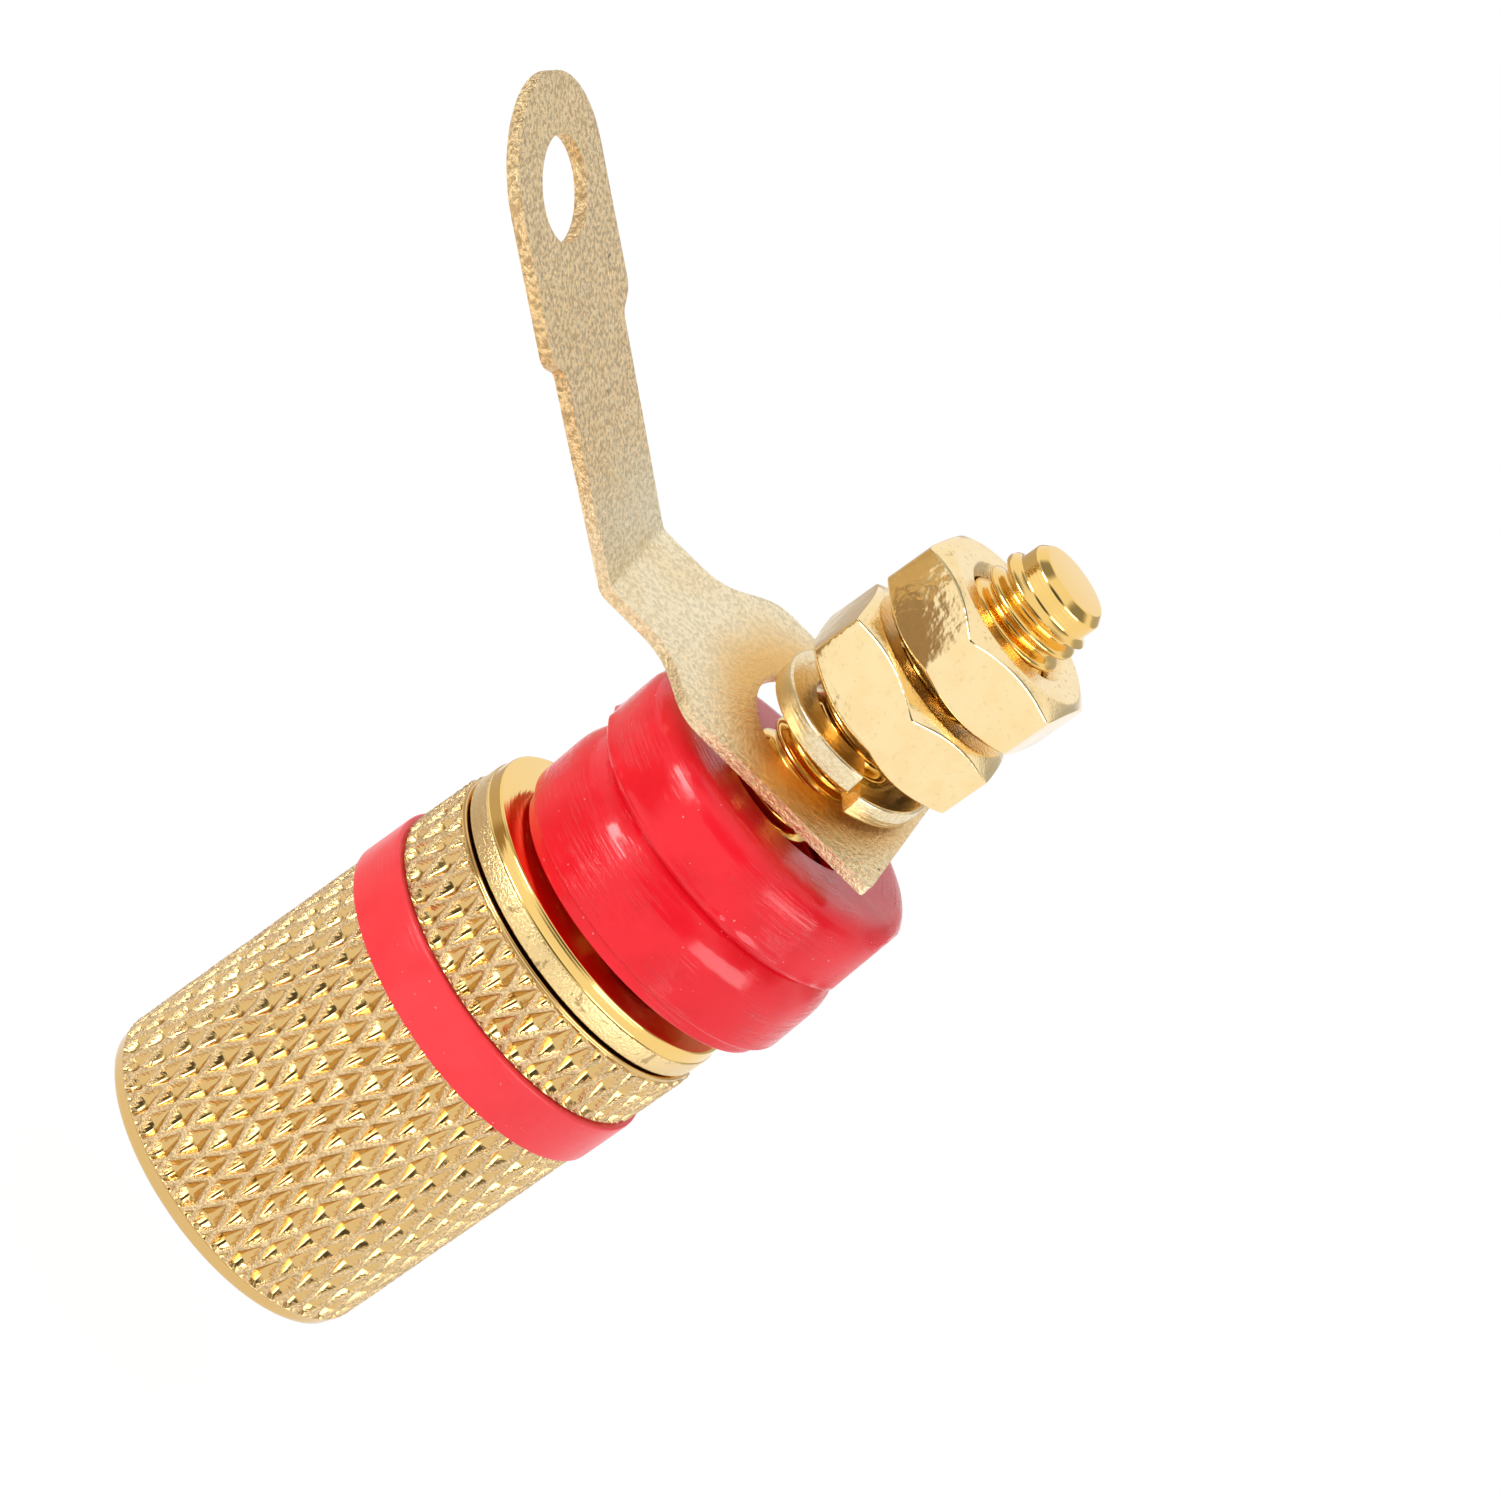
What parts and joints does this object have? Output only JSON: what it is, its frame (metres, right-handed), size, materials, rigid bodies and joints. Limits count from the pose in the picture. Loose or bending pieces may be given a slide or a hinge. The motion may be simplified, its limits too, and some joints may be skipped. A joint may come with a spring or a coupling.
{
  "type": "binding post",
  "caption": "Panel binding post: knurled gold thumb nut with a red ring, plug socket, red insulators, threaded stud with nuts and a bent solder lug.",
  "frame": {"origin": "centre of the thumb nut's open end, on the post's axis, at rest", "axes": "+Z along the post from the open end of the thumb nut to the tip of the stud; +X towards the side that the solder lug's arm leans out on; +Y square to both"},
  "size_m": [0.0305, 0.0143, 0.037],
  "materials": {
    "post_gold": "gold plate over turned brass, mirror collar and threaded stud",
    "knurl_gold": "gold plate, frosted on the knurl's ridges and bright in its pits",
    "ring_red": "smooth moulded, satin",
    "insulator_red": "glossy moulded with fine scratches",
    "lug_gold": "gold plate over stamped sheet, frosted",
    "washer_gold": "gold plate over spring metal, drawn",
    "nut_gold": "gold plate, smooth flats and bright turned corners"
  },
  "bodies": {
    "post_body": {"post": "post_gold", "front_insulator": "insulator_red", "rear_insulator": "insulator_red", "spring_washer": "washer_gold"},
    "ring_body": {"colour_ring": "ring_red"},
    "thumb_nut_body": {"thumb_nut": "knurl_gold"},
    "lug_body": {"solder_lug": "lug_gold"},
    "inner_nut_body": {"inner_nut": "nut_gold"},
    "outer_nut_body": {"outer_nut": "nut_gold"}
  },
  "joints": [
    {"name": "thumb_travel", "type": "slide", "parent": "post_body", "child": "ring_body", "axis": [0, 0, -1], "range_m": [-0.00009, 0.0045]},
    {"name": "thumb_turn", "type": "hinge", "parent": "ring_body", "child": "thumb_nut_body", "pos_m": [0, 0, 0], "axis": [0, 0, -1], "range_deg": [-30, 1620]},
    {"name": "lug_swing", "type": "hinge", "parent": "post_body", "child": "lug_body", "pos_m": [0.00058, 0.00011, 0.02645], "axis": [0.1081, 0.2269, 0.9679], "continuous": true},
    {"name": "inner_nut_turn", "type": "hinge", "parent": "post_body", "child": "inner_nut_body", "pos_m": [0, 0, 0.03003], "axis": [0, 0, 1], "continuous": true},
    {"name": "outer_nut_turn", "type": "hinge", "parent": "post_body", "child": "outer_nut_body", "pos_m": [0, 0, 0.03323], "axis": [0, 0, 1], "continuous": true}
  ],
  "couplings": [
    {"joint": "thumb_travel", "follows": "thumb_turn", "m_per_rad": 0.00015915}
  ]
}
